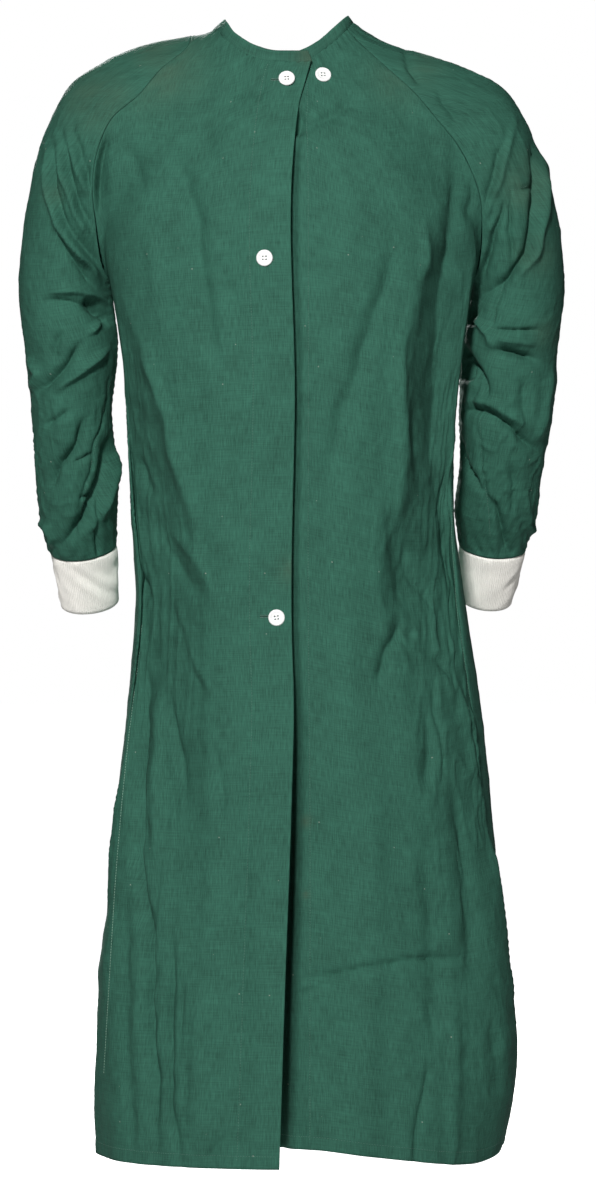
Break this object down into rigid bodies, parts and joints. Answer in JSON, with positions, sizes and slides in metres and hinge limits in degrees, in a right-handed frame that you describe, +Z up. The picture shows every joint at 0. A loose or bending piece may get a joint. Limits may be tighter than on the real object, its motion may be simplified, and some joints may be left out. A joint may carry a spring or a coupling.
{
  "type": "surgical gown",
  "caption": "Reusable surgical gown worn open at the back: raglan sleeves, narrow neckband, ribbed knit cuffs and buttons, filled out as when worn, hollow inside.",
  "frame": {"origin": "between the two sides of the neck, at the height where the gown rests on the wearer's shoulders", "axes": "+Z up; -Y the back with its opening, +Y the front; +X the wearer's right, which is on the right seen from behind"},
  "size_m": [0.6096, 0.3676, 1.2553],
  "materials": {
    "gown_cloth": "plain-woven green cotton, washed soft, with fine slubs",
    "cuff_knit": "off-white ribbed cotton knit",
    "button": "white moulded, with a raised rim"
  },
  "bodies": {
    "root": {"front": "gown_cloth", "back_left": "gown_cloth", "back_right": "gown_cloth", "sleeve_left": "gown_cloth", "sleeve_right": "gown_cloth", "neckband": "gown_cloth", "cuff_left": "cuff_knit", "cuff_right": "cuff_knit", "button_neck": "button", "button_neck_spare": "button", "button_chest": "button", "button_hip": "button"}
  },
  "joints": []
}
